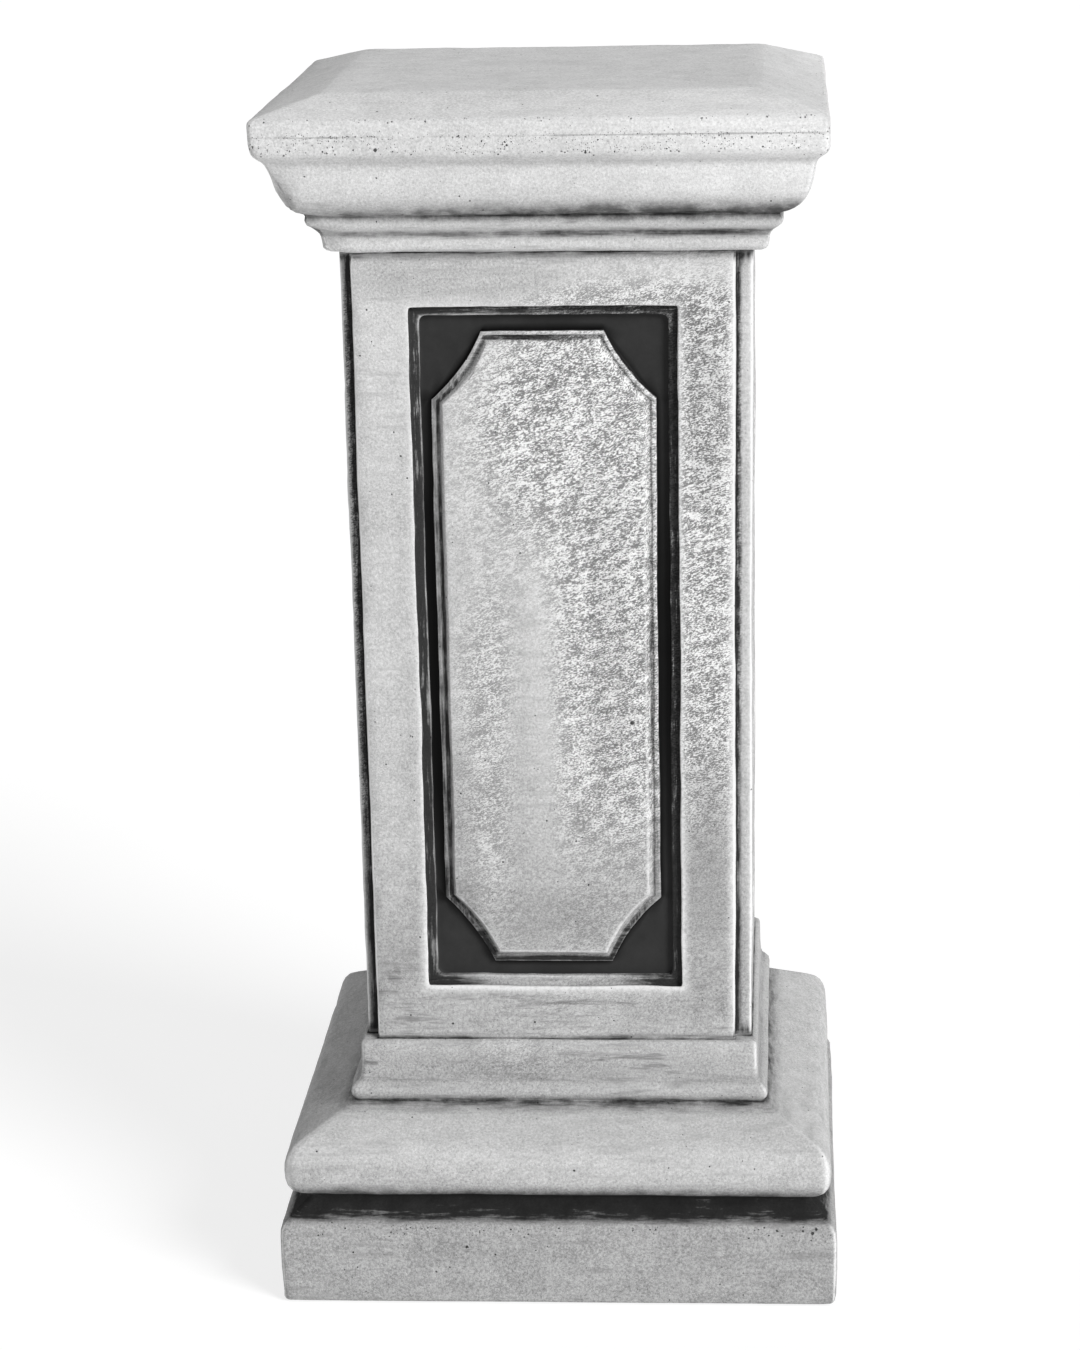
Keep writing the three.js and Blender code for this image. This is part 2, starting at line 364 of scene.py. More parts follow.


# Cap: rings of the softened section. Wash and painted shade fade up the ovolo from its foot by an
# exponential, the wash lies in the hollow by a bell curve, and a thin band of painted shadow lies under
# the fascia.
def makeCap():
    path = tracePath(capMoulding["start"], capMoulding["path"], 0.2)
    section, masks = softSection(
        path, gridSteps["capRows"], capMoulding["soft"], capMoulding["longest"], 1)
    z = section[:, 1]
    aboveFoot = z - capMoulding["ovoloFoot"]
    inHollow = bell(z - capMoulding["hollow"], 2.4)
    # wash in the crease at the ovolo's foot, and painted shade up the ovolo's lower part
    foot = np.where(aboveFoot > 0, np.exp(-np.abs(aboveFoot) / 4.2), bell(aboveFoot, 1.0))
    masks["crease"] = np.maximum(0.56 * foot, 0.46 * inHollow)
    grime = 0.85 * np.where(aboveFoot > 0, bell(aboveFoot, 7.5), bell(aboveFoot, 4.0))
    grime = np.maximum(grime, 0.65 * inHollow)
    # thin band of painted shadow under the fascia
    masks["grime"] = grime + 0.36 * bell(z - capMoulding["fasciaFoot"], 1.7)
    fillet = shaftSize["headFillet"]
    ends = [shaftRing(swell * fillet, shaftSize["head"] - drop * fillet)
            for swell, drop in ((0.0, 1.0), (0.3, 0.3), (1.0, 0.0))]
    addMoulding(section, masks, capMoulding, capMoulding["radius"], ends, [0.5, 0.8, 0.5], True)


panelSize = {
    "openingHalf": 80.9,
    "openingFoot": 194.4,
    "openingHead": 629.4,
    "ledgeWidth": 5.8,
    "ledgeDepth": 4.0,
    "groundDepth": 8.2,
    "sideMargin": 6.7,
    "octagonShift": -0.8,
    "endMargin": 9.6,
    "cutAcross": 31.0,
    "cutDown": 42.5,
    "cutHollow": 2.8,
    "borderWidth": 3.0,
    "creaseWidth": 1.4,
    "creaseDepth": 1.3,
    "bevelWidth": 2.8,
    "groundRun": 12.0,
    "fieldLap": 1.6,
    "soft": 0.5,
    "longest": 5.0,
}


# Distances from a corner along one side, and in from it, with the last radius bent to an eighth of a circle
def roundOff(along, radius):
    angle = np.clip(1 - along / max(radius, 1e-6), 0, 1) * math.pi / 4
    return np.where(along < radius, radius - radius * np.sin(angle), along), radius - radius * np.cos(angle)


# Ring of a rectangle with rounded corners in the plane of a face, from its lower left corner anticlockwise
def rectangleRing(half, foot, head, radius):
    across, up = half * acrossPart, (head - foot) * (upPart - 0.5)
    alongLow, inLow = roundOff(half - np.abs(across), radius)
    alongUp, inUp = roundOff((head - foot) / 2 - np.abs(up), radius)
    low = np.stack([np.sign(across) * (half - alongLow), inLow - (head - foot) / 2], 1)
    right = np.stack([half - inUp, np.sign(up) * ((head - foot) / 2 - alongUp)], 1)
    ring = np.concatenate([low[:-1], right[:-1], (low * [1, -1])[:0:-1], (right * [-1, 1])[:0:-1]])
    return ring + [0, (foot + head) / 2]


# Ring of the long octagon drawn in by the inset: upright edges, level edges, and corner cuts hollowed
# by a parabola; the middle of each cut stands for a corner of the ring
def octagonRing(inset):
    size = panelSize
    half = size["openingHalf"] - size["ledgeWidth"] - size["sideMargin"]
    tall = (size["openingHead"] - size["openingFoot"]) / 2 - size["ledgeWidth"] - size["endMargin"]
    middle = (size["openingHead"] + size["openingFoot"]) / 2
    cutAcross, cutDown = size["cutAcross"], size["cutDown"]
    slant = math.hypot(cutAcross, cutDown)
    reach = cutDown * half + cutAcross * (tall - cutDown) - inset * slant
    edgeX, edgeY = half - inset, tall - inset
    start = np.array([edgeX, (reach - cutDown * edgeX) / cutAcross])
    end = np.array([(reach - cutAcross * edgeY) / cutDown, edgeY])
    t = np.linspace(0, 1, 2 * gridSteps["cut"] + 1)[:, None]
    inward = np.array([-cutDown, -cutAcross]) / slant
    cut = start + (end - start) * t + inward * size["cutHollow"] * 4 * t * (1 - t)
    upright, level = cut[:gridSteps["cut"] + 1], cut[gridSteps["cut"]:]
    edge = np.linspace(-1, 1, gridSteps["edgeUp"] + 1)[1:-1, None]
    right = np.concatenate([(upright * [1, -1])[::-1], [edgeX, 0] + edge * [0, start[1]], upright])
    lead = np.linspace(1, -1, gridSteps["edgeAcross"] + 1)[1:-1, None]
    top = np.concatenate([level, [0, edgeY] + lead * [end[0], 0], (level * [-1, 1])[::-1]])
    ring = np.concatenate([(-top)[:-1], right[:-1], top[:-1], (-right)[:-1]])
    return ring + [size["octagonShift"], middle]


# Ring of the panelled face at a place along its section: below 0 the stiles and rails, then the sunk
# ledge, the ground between rectangle and octagon, and the raised panel
def faceRing(place):
    size = panelSize
    ledge, ground = size["ledgeWidth"], size["groundRun"]
    out = np.clip(-place / 34, 0, 1)
    inset = np.clip(place, 0, ledge)
    half = size["openingHalf"] + (slabEnd - size["openingHalf"]) * out - inset
    foot = size["openingFoot"] + (slabFoot - size["openingFoot"]) * out + inset
    head = size["openingHead"] + (slabHead - size["openingHead"]) * out - inset
    toPanel = np.clip((place - ledge) / ground, 0, 1)
    outer = rectangleRing(half, foot, head, 1.2 * (1 - out) + 2.8 * inset / ledge)
    return outer + (octagonRing(max(place - ledge - ground, 0)) - outer) * toPanel


# Fills a ring of four sides with a grid: opposite sides are blended, and the blend of the corners is
# taken off once
def fillRing(ring):
    low = ring[:stepsAcross + 1]
    right = ring[stepsAcross:stepsAcross + stepsUp + 1]
    top = ring[stepsAcross + stepsUp:2 * stepsAcross + stepsUp + 1][::-1]
    left = np.concatenate([ring[2 * stepsAcross + stepsUp:], ring[:1]])[::-1]
    u = np.linspace(0, 1, stepsAcross + 1)[None, :, None]
    v = np.linspace(0, 1, stepsUp + 1)[:, None, None]
    sides = (1 - v) * low[None] + v * top[None] + (1 - u) * left[:, None] + u * right[:, None]
    lowCorners = (1 - u) * low[0] + u * low[-1]
    topCorners = (1 - u) * top[0] + u * top[-1]
    return sides - (1 - v) * lowCorners - v * topCorners


# Unsteady lines of a hand-worked mould: each place in the plane of a face moves by two sizes of noise
def waver(flats, side):
    spots = flats.reshape(-1, 2)
    spots = np.stack([spots[:, 0], np.full(len(spots), 500.0 * side), spots[:, 1]], 1)
    moves = [0.55 * latticeNoise(spots, 34.0, seed) + 0.28 * latticeNoise(spots, 11.0, seed + 1)
             for seed in (41, 43)]
    return np.stack(moves, 1).reshape(flats.shape)


# Points on the face of one side: across and up in its plane, out by the level, and widened with the shaft
def ontoFace(flat, level, side):
    across, z = flat[..., 0], flat[..., 1]
    outward = np.broadcast_to(shaftSize["half"] + level, across.shape)
    place = turnToSides(across, outward)[side] * widening(z)[..., None]
    return np.concatenate([place, z[..., None]], -1)


# Section of a panelled face, from the stile inwards: ledge, ground, riser, border, crease, bevel, field
def panelSection():
    size = panelSize
    ledge, low, ground = size["ledgeWidth"], -size["ledgeDepth"], -size["groundDepth"]
    border = ledge + size["groundRun"]
    crease = border + size["borderWidth"]
    bevel = crease + size["creaseWidth"]
    field = bevel + size["bevelWidth"]
    path = tracePath((-34, 0), [
        (0, 0),
        (0, low),
        (ledge, low),
        (ledge, ground),
        (border, ground),
        (border, low),
        (crease, low),
        (crease, low - size["creaseDepth"]),
        (bevel, low - size["creaseDepth"]),
        (field, 0),
        (field + size["fieldLap"], 0),
    ], 0.1)
    return softSection(path, gridSteps["faceRings"], size["soft"], size["longest"], -1)


# Masks of a panelled face by place and level of its section, and by which way the rings face: the wash lies
# heavy on the ledge but for the middle of the sill and along the lower border, painted shade lies in the
# channel, at the foot of the riser and along the octagon, and the arrises are rubbed
def panelMasks(section, masks):
    size = panelSize
    place, level = section[:, :1], section[:, 1:]
    ledge, border = size["ledgeWidth"], size["ledgeWidth"] + size["groundRun"]
    facing = octagonRing(0.0) - octagonRing(2.0)
    facing /= np.linalg.norm(facing, axis=1, keepdims=True)
    toRight, toTop = facing.T[:, None]
    toFoot, toLeft = np.clip(-toTop, 0, 1), np.clip(-toRight, 0, 1)
    onSide, onRight = np.abs(toRight), np.clip(toRight, 0, 1)
    onGround = level < -size["groundDepth"] + 0.9
    sunk = np.clip(-level - 0.5, 0, 1) * (place < ledge + 0.5)
    along = np.abs(faceRing(0.0)[:, 0])[None] / size["openingHalf"]
    sill = toFoot * (0.78 - 0.64 * np.clip((along - 0.5) / 0.35, 0, 1))
    inner = np.clip((ledge - 0.4 - place) / (1.6 - 0.9 * onSide), 0.6 + 0.4 * onRight, 1)
    ledgeWash = sunk * (0.88 + 0.08 * onSide + 0.06 * onRight - sill) * inner
    # painted shade at the foot of the riser
    riser = np.clip(-level - size["ledgeDepth"], 0, 1) * bell(place - border, 0.9)
    onBorder = bell(place - border - 1.6, 1.5) * (place > border - 0.5)
    borderWash = onBorder * (0.2 + 0.75 * toFoot + 0.3 * toLeft * (1 - toFoot))
    inCrease = bell(place - border - size["borderWidth"] - 1.1, 1.25) * np.clip(-level - 2.4, 0, 1)
    onCut = np.clip(toTop, 0, 1) * (onRight + 0.8 * toLeft)
    creaseWash = inCrease * (0.68 + 0.34 * toTop - 0.16 * toRight - onCut)
    crease = np.maximum(np.maximum(ledgeWash, 0.9 * riser), np.maximum(borderWash, creaseWash))
    onLedge, onField = np.abs(place - ledge) < 1.4, place > border + size["borderWidth"] + 1
    edges = (place < 1) * 0.55 + onLedge * (0.2 + 0.25 * toFoot - 0.2 * onRight)
    edges = edges + onField * (0.62 - 0.3 * toTop) + (place > border - 1) * ~onField * (0.24 + 0.2 * toTop)
    outside = 0.3 * bell(place, 3.0) * (level > -1)
    rim = bell(place + 1.1, 1.8) * (level > -0.8) * (0.34 + 0.4 * toFoot + 0.2 * onSide)
    rim = rim + 0.6 * bell(place + 34, 2.0) * onRight
    grime = outside + 0.5 * bell(place - border - 1.5, 2.2) * (0.7 - 0.4 * toRight - 0.2 * toTop)
    gap = np.linalg.norm(faceRing(border) - faceRing(ledge), axis=1)[None]
    across = np.clip((place - ledge) / size["groundRun"], 0, 1)
    # painted shade: black all over in the narrow channels, and along the octagon's riser in the corners
    shade = np.clip(np.maximum((10.2 - gap) / 3, (3.4 - (1 - across) * gap) / 2.6), 0, 1)
    arris = np.maximum(masks["arris"][:, None] * edges, rim)
    return {"arris": arris, "crease": crease, "grime": grime, "ground": onGround, "shade": shade}


# Panelled faces: the section's rings on each side, wavering more the nearer they are to the panel, and the
# field as a filled ring
def makeFaces():
    section, bends = panelSection()
    place = section[:, 0]
    flats = np.stack([faceRing(at) for at in place]) + [shaftSize["shift"], 0]
    levels = section[:, 1][:, None]
    dressed = panelMasks(section, bends)
    sideways = np.zeros(flats.shape[1])
    sideways[stepsAcross:stepsAcross + stepsUp] = 1
    sideways[2 * stepsAcross + stepsUp:] = 1
    loose = np.clip((place + 30) / 28, 0, 1)[:, None, None]
    for side in range(4):
        wavy = flats + loose * waver(flats, side)
        addGrid(ontoFace(wavy, levels, side), True, upright=sideways[None], **dressed)
        addGrid(ontoFace(fillRing(wavy[-1]), 0.0, side), False)


# Corner rebates: their section carried up the shaft, with wash by a bell curve about the crease and by an
# exponential towards both ends; the wide dark bell on the first wall is painted shadow of the slab
def makeRebates():
    path = rebatePath(0.0)
    z = slabFoot + (slabHead - slabFoot) * upPart
    bed = np.array([cheek + shaftSize["shift"], cheek - shaftSize["shift"]])
    fromBed = np.linalg.norm(path - bed, axis=1)
    onFirst = np.arange(len(path)) <= len(path) // 2
    reach = np.where(onFirst, shaftSize["half"] - bed[1], shaftSize["half"] - bed[0])
    # painted shadow of the slab: wide and dark on the first wall; on the second wall a thin line of wash
    crease = np.where(onFirst, bell(fromBed, 3.8), 0.9 * bell(fromBed, 2.3))[None]
    toEnd = np.minimum(z - slabFoot, slabHead - z)[:, None]
    crease = np.maximum(crease, np.exp(-toEnd / 5.0) * (fromBed < reach + 0.5)[None])
    arris = bell(fromBed - reach, 1.2)[None]
    for side in range(4):
        flat = turnToSides(path[:, 0], path[:, 1])[side]
        place = flat[None] * widening(z)[:, None, None]
        level = np.broadcast_to(z[:, None, None], place.shape[:2] + (1,))
        addGrid(np.concatenate([place, level], 2), False, arris=arris, crease=crease, grime=0.7 * crease,
                upright=1.0)


makeBase()
makeCap()
makeFaces()
makeRebates()


# Joins points that fall on each other, drops collapsed quads, and turns those with one side of no length
# to triangles
def weldShell():
    points = np.concatenate(shell["points"])
    _, kept, place = np.unique(np.round(points, 4), axis=0, return_index=True, return_inverse=True)
    quads = place.reshape(-1)[np.concatenate(shell["quads"])]
    following = np.roll(quads, -1, axis=1)
    shut = quads == following
    whole = quads[~shut.any(1)]
    narrow = quads[shut.sum(1) == 1]
    keepCorner = ~shut[shut.sum(1) == 1]
    triangles = narrow[keepCorner].reshape(-1, 3)
    masks = {name: np.concatenate(shell[name])[kept] for name in maskNames}
    return points[kept], whole, triangles, masks


# Normal at each point: the sum of the cross products of its faces' diagonals, made unit length
def pointNormals(points, whole, triangles):
    faces = np.concatenate([whole, np.concatenate([triangles, triangles[:, 2:]], 1)])
    a, b, c, d = (points[faces[:, i]] for i in range(4))
    across = np.cross(c - a, d - b)
    normals = np.stack([sum(np.bincount(faces[:, i], across[:, axis], len(points)) for i in range(4))
                        for axis in range(3)], 1)
    return normals / np.maximum(np.linalg.norm(normals, axis=1, keepdims=True), 1e-9)


points, whole, triangles, masks = weldShell()
print("casting:", len(points), "points,", 2 * len(whole) + len(triangles), "triangles")

unevenness = {
    "broad": (70.0, 0.45, 11),
    "middle": (24.0, 0.28, 12),
    "small": (9.0, 0.14, 13),
    "arrisWear": (8.0, 0.7, 14),
}

# Knocks and worn corners: middle of the knock, its radius and its depth in millimetres
knocks = [
    ((-160.0, -160.0, 706.0), 13.0, 3.4),
    ((-144.0, -144.0, 683.0), 8.0, 2.0),
    ((-136.0, -136.0, 669.0), 10.0, 4.6),
    ((-171.0, -171.0, 727.0), 7.0, 1.2),
    ((171.0, -171.0, 746.0), 7.0, 1.0),
    ((-126.4, -126.4, 146.0), 6.0, 1.2),
    ((175.0, -175.0, 4.0), 10.0, 1.6),
    ((-175.0, -175.0, 3.0), 9.0, 1.4),
    ((176.0, 171.0, 30.0), 9.0, 2.0),
    ((-120.0, 171.0, 726.0), 8.0, 1.6),
    ((171.0, 60.0, 747.0), 6.0, 1.2),
    ((-172.0, 120.0, 88.0), 9.0, 1.4),
]

# Broken corners: a place on the break, the way it faces, and how far it reaches in millimetres
breaks = [
    ((-154.6, -155.0, 706.0), (-0.69, -0.43, -0.58), 24.0),
    ((-138.5, -139.0, 678.0), (-0.75, -0.45, -0.48), 14.0),
]


# Moves every point along its normal by three sizes of noise, by the wear of the arrises and by the knocks,
# which also gather grime; what stands out before the plane of a break is set back to it
def wearDown(points, normals, masks):
    move = np.zeros(len(points))
    for name in ("broad", "middle", "small"):
        pitch, amount, seed = unevenness[name]
        move += amount * latticeNoise(points, pitch, seed)
    pitch, amount, seed = unevenness["arrisWear"]
    bite = np.clip(latticeNoise(points, pitch, seed) - 0.1, 0, None)
    move -= amount * bite * masks["arris"]
    rough = 1 + 0.5 * latticeNoise(points, 3.5, 21)
    for centre, radius, depth in knocks:
        apart = np.linalg.norm(points - np.array(centre), axis=1)
        bite = np.exp(-(apart / radius) ** 2)
        move -= depth * rough * bite
        masks["grime"] = np.maximum(masks["grime"], 0.5 * bite)
    move *= np.clip(points[:, 2] / 4, 0, 1)  # the underside stays flat on the ground
    worn = points + normals * move[:, None]
    jag = 0.6 * latticeNoise(points, 4.0, 22)
    for centre, facing, reach in breaks:
        apart = worn - np.array(centre)
        fade = np.clip(1.5 - 1.5 * np.linalg.norm(apart, axis=1) / reach, 0, 1)
        cut = np.clip(apart @ np.array(facing) + jag, 0, None) * fade
        worn = worn - cut[:, None] * np.array(facing)
        masks["grime"] = np.maximum(masks["grime"], 0.6 * np.clip(cut, 0, 1))
    worn[:, 2] = np.clip(worn[:, 2], 0, None)
    return worn


# Distance to the right of the middle of the side that each place is on
def acrossOf(points):
    x, y = points[:, 0], points[:, 1]
    return np.where(np.abs(y) > np.abs(x), -np.sign(y) * x, np.sign(x) * y)


# How much dry-brushed speckle a place holds: on the shaft it rises to the right by a tanh and fades towards
# foot and head, with two patches more and a smooth stripe down the field; hardly any on the base and cap
def speckleOn(points):
    across, z = acrossOf(points), points[:, 2]
    shaft = 0.53 + 0.45 * np.tanh((across + 10) / 34)
    shaft += 0.4 * np.exp(-((across + 40) / 24) ** 2) * np.exp(-((z - 330) / 150) ** 4)
    shaft += 0.45 * np.exp(-((across + 22) / 36) ** 2) * np.exp(-((z - 560) / 50) ** 2)
    shaft -= 0.5 * np.exp(-((across + 12) / 15) ** 2) * np.exp(-((z - 330) / 130) ** 4)
    shaft -= 0.75 * np.exp(-((z - 656) / 20) ** 2)
    fadeHeight = 258 + 22 * np.tanh((across - 5) / 15) + np.clip(across - 70, 0, 30)
    shaft *= 0.58 + 0.42 * np.tanh((z - fadeHeight) / 70)
    amount = np.where(z < shaftSize["foot"] - 1, 0.16, np.where(z > shaftSize["head"] + 1, 0.06, shaft))
    return np.clip(amount + 0.16 * latticeNoise(points, 60.0, 31), 0.0, 1)


# Tone of the bare stone by height, with painted light in it: darker towards the bottom and paler up the slope
# of the torus that faces the light; and share of smeared wash by height; heights in millimetres
toneAndLightByHeight = [
    (0, 0.32), (48, 0.32), (75, 0.42), (100, 0.49), (117, 0.48), (121, 0.41), (142, 0.36), (153, 0.42),
    (170, 0.375), (195, 0.375), (600, 0.51), (700, 0.58), (746, 0.58), (750, 0.63),
]
smearByHeight = [
    (48, 0.5), (66, 0.25), (118, 0.3), (122, 0.6), (134, 0.4), (139, 1.2), (146, 1.2), (150, 0.4),
    (166, 0.8), (186, 1.0), (215, 0.25), (650, 0.3), (666, 0.6), (692, 0.5), (704, 0.15),
]

# Paler and duller patches, with painted shade on the upper rail under the cap, and dusty patches: place
# across a side and height, reach across and up in millimetres, and amount
toneAndShadePatches = [
    # painted shade on the upper rail under the cap
    ((-55, 646), (80, 13), -0.13),
    ((175, 722), (115, 36), 0.1),
    ((-3, 400), (14, 130), 0.06),
    ((-108, 370), (14, 110), 0.05),
    ((-120, 86), (75, 9), -0.05),
    ((70, 140), (70, 18), 0.03),
    ((-10, 142), (75, 6), -0.06),
    ((0, 265), (64, 60), -0.025),
    ((98, 240), (18, 60), -0.03),
]
dustPatches = [
    ((36, 415), (14, 120), 0.34),
    ((-60, 290), (14, 80), 0.4),
    ((0, 240), (60, 22), 0.42),
    ((97, 575), (15, 80), 0.4),
    ((94, 285), (19, 80), 0.45),
    ((-100, 212), (18, 28), 0.4),
]


# Sum of soft-edged patches: each fades by the fourth power of the distance over its reach
def patchesOn(points, patches):
    across, z = acrossOf(points), points[:, 2]
    total = np.zeros(len(points))
    for (middle, height), (wide, tall), amount in patches:
        total += amount * np.exp(-((across - middle) / wide) ** 4 - ((z - height) / tall) ** 4)
    return total


# Dark wash and painted shade by place: thinner on the left of the cap, thicker on its right
def spreadWash(points, masks):
    onCap = points[:, 2] > shaftSize["head"] + 1
    share = np.where(onCap, 1.0 + 0.24 * np.tanh((acrossOf(points) + 30) / 70), 1)
    for name in ("crease", "grime"):
        masks[name] = masks[name] * share


normals = pointNormals(points, whole, triangles)
masks["speckle"] = speckleOn(points)
# the pale mask: the stone's tone with painted light by height and painted shade under the cap
masks["pale"] = np.interp(points[:, 2], *np.transpose(toneAndLightByHeight)) + patchesOn(points, toneAndShadePatches)
masks["smear"] = np.interp(points[:, 2], *np.transpose(smearByHeight))
spreadWash(points, masks)
masks["grime"] = np.maximum(masks["grime"], patchesOn(points, dustPatches))
worn = wearDown(points, normals, masks)

castMesh = bpy.data.meshes.new("pedestal_cast")
castMesh.from_pydata((worn / 1000).tolist(), [], whole.tolist() + triangles.tolist())
castMesh.polygons.foreach_set("use_smooth", np.ones(len(castMesh.polygons), bool))
for name, values in masks.items():
    layer = castMesh.attributes.new(name, "FLOAT", "POINT")
    layer.data.foreach_set("value", values.astype(np.float32))
castMesh.update()
casting = bpy.data.objects.new("pedestal_cast", castMesh)
bpy.context.scene.collection.objects.link(casting)
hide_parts("pedestal")
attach(casting, "root")


# New node with its settings; an input is a socket to link or a value to set
def addNode(tree, kind, inputs=None, **settings):
    node = tree.nodes.new(kind)
    for name, value in settings.items():
        setattr(node, name, value)
    for name, value in (inputs or {}).items():
        if isinstance(value, bpy.types.NodeSocket):
            tree.links.new(value, node.inputs[name])
        else:
            node.inputs[name].default_value = value
    return node


# One step of arithmetic on sockets or numbers
def calc(tree, operation, first, second=0.0, third=0.0):
    return addNode(tree, "ShaderNodeMath", {0: first, 1: second, 2: third}, operation=operation).outputs[0]


# Rises smoothly from 0 to 1 as the value goes from low to high
def rise(tree, value, low, high):
    values = {"Value": value, "From Min": low, "From Max": high}
    return addNode(tree, "ShaderNodeMapRange", values, interpolation_type="SMOOTHSTEP").outputs["Result"]


# 1 between the two middle heights of a band and 0 outside the two outer ones
def bandAt(tree, height, band):
    return calc(tree, "MULTIPLY", rise(tree, height, band[0], band[1]), rise(tree, height, band[3], band[2]))


# The first tone where the share is 0 and the second where it is 1
def mixTone(tree, share, first, second):
    return addNode(tree, "ShaderNodeMix", {0: share, 2: first, 3: second}, data_type="FLOAT").outputs[0]


# Noise between 0 and 1, with that many cells a metre
def noiseAt(tree, where, scale, detail, roughness):
    values = {"Vector": where, "Scale": scale, "Detail": detail, "Roughness": roughness}
    return addNode(tree, "ShaderNodeTexNoise", values).outputs["Fac"]


# Noise centred on nothing, times an amount
def swing(tree, noise, amount):
    return calc(tree, "MULTIPLY_ADD", noise, amount, -amount / 2)


# Coordinates times a size, so noise on them is long where the size is small
def stretched(tree, where, size):
    return addNode(tree, "ShaderNodeVectorMath", {0: where, 1: size}, operation="MULTIPLY").outputs[0]


# One of the masks stored on the mesh
def maskOf(tree, name):
    return addNode(tree, "ShaderNodeAttribute", attribute_name=name).outputs["Fac"]


# Spot about a point of the front: 1 inside the radius, which the unevenness varies; the depth counts little
def spotAt(tree, where, centre, radius, uneven):
    flat = stretched(tree, where, (1.0, 0.15, 1.0))
    middle = (centre[0], 0.15 * centre[1], centre[2])
    apart = addNode(tree, "ShaderNodeVectorMath", {0: flat, 1: middle}, operation="DISTANCE").outputs["Value"]
    return rise(tree, calc(tree, "MULTIPLY", apart, uneven), radius, 0.6 * radius)


castStone = {
    "smearGrey": 0.17,
    "speckleGrey": 0.17,
    "dab": 0.8,
    "washAndShade": 0.009,
    "edgeWhite": 0.68,
    "ground": 0.027,
    "channelShade": 0.003,
    "hole": 0.02,
    "scuffGrey": 0.1,
    "cloudScale": 9.0,
    "driftScale": 60.0,
    "sandScale": 640.0,
    "smearScale": 260.0,
    "strokeScale": 1250.0,
    "patchScale": 210.0,
    "rubScale": 420.0,
    "streakScale": 420.0,
    "holeScale": 820.0,
    "pits": [
        ((0.0493, -0.124, 0.3675), 0.0017),
        ((-0.0671, -0.123, 0.1689), 0.0009),
        ((-0.0148, -0.123, 0.1701), 0.0008),
        ((0.0114, -0.173, 0.0894), 0.0009),
        ((-0.0956, -0.171, 0.7305), 0.0014),
        ((-0.0182, -0.124, 0.4762), 0.0007),
        ((-0.0569, -0.176, 0.0389), 0.0012),
        ((0.1607, -0.1755, 0.0494), 0.0013),
        ((0.1629, -0.1755, 0.0518), 0.0011),
        ((0.1383, -0.1755, 0.0507), 0.0009),
        ((0.1547, -0.1755, 0.0507), 0.0008),
    ],
    "scuffs": [
        ((-0.1033, -0.123, 0.2), 0.006),
        ((-0.0569, -0.176, 0.0389), 0.0048),
        ((-0.1205, -0.126, 0.1421), 0.007),
        ((-0.0926, -0.124, 0.4664), 0.0022),
    ],
    "seamHeight": 0.738,
    "fasciaBand": (0.7265, 0.7285, 0.738, 0.742),
    "plinthBand": (0.044, 0.048, 0.05, 0.053),
    "capBand": (0.7455, 0.747, 0.748, 0.7495),
    "roughness": 0.86,
    "groundRoughness": 0.5,
    "shine": 0.08,
    "bumpStrength": 0.6,
    "bumpDistance": 0.0006,
}


# Level smears of thinned wash: noise ten times as long as high, moved by the clouds and broken by sand
def levelSmear(tree, where, cloud, drift, sand):
    longWays = stretched(tree, where, (0.1, 0.1, 1.0))
    smear = noiseAt(tree, longWays, castStone["smearScale"], 4.0, 0.65)
    smear = calc(tree, "ADD", smear, calc(tree, "ADD", swing(tree, drift, 0.4), swing(tree, cloud, 0.7)))
    return calc(tree, "ADD", smear, swing(tree, sand, 0.25))


# Dry-brushed strokes rising to the right: noise on slanted and flattened coordinates, gathered in patches
def brushStrokes(tree, where, drift):
    flat = stretched(tree, where, (0.46, 0.46, 0.0))
    slope = addNode(tree, "ShaderNodeVectorMath", {0: where, 1: (-0.3, -0.3, 1.0)}, operation="DOT_PRODUCT")
    lift = addNode(tree, "ShaderNodeCombineXYZ", {"Z": slope.outputs["Value"]}).outputs[0]
    slant = addNode(tree, "ShaderNodeVectorMath", {0: flat, 1: lift}, operation="ADD").outputs[0]
    strokes = noiseAt(tree, slant, castStone["strokeScale"], 3.0, 0.8)
    patches = noiseAt(tree, slant, castStone["patchScale"], 3.0, 0.6)
    cover = calc(tree, "ADD", strokes, swing(tree, patches, 0.36))
    return calc(tree, "ADD", cover, swing(tree, drift, 0.16))


# Dark wash and painted shade in the creases: their mask times streaks along them, level or plumb, broken by
# the sand
def creaseWash(tree, where, drift, sand):
    longWays, tallWays = (stretched(tree, where, size) for size in ((0.07, 0.07, 1.0), (1.0, 1.0, 0.07)))
    level = noiseAt(tree, longWays, castStone["streakScale"], 5.0, 0.72)
    plumb = noiseAt(tree, tallWays, castStone["streakScale"], 5.0, 0.72)
    streak = calc(tree, "MULTIPLY_ADD", maskOf(tree, "upright"), calc(tree, "SUBTRACT", plumb, level), level)
    broken = calc(tree, "ADD", swing(tree, streak, 2.6), swing(tree, sand, 0.6))
    broken = calc(tree, "ADD", broken, swing(tree, drift, 1.2))
    washed = calc(tree, "MULTIPLY", maskOf(tree, "crease"), calc(tree, "ADD", broken, 1.0))
    return rise(tree, washed, 0.1, 0.85)


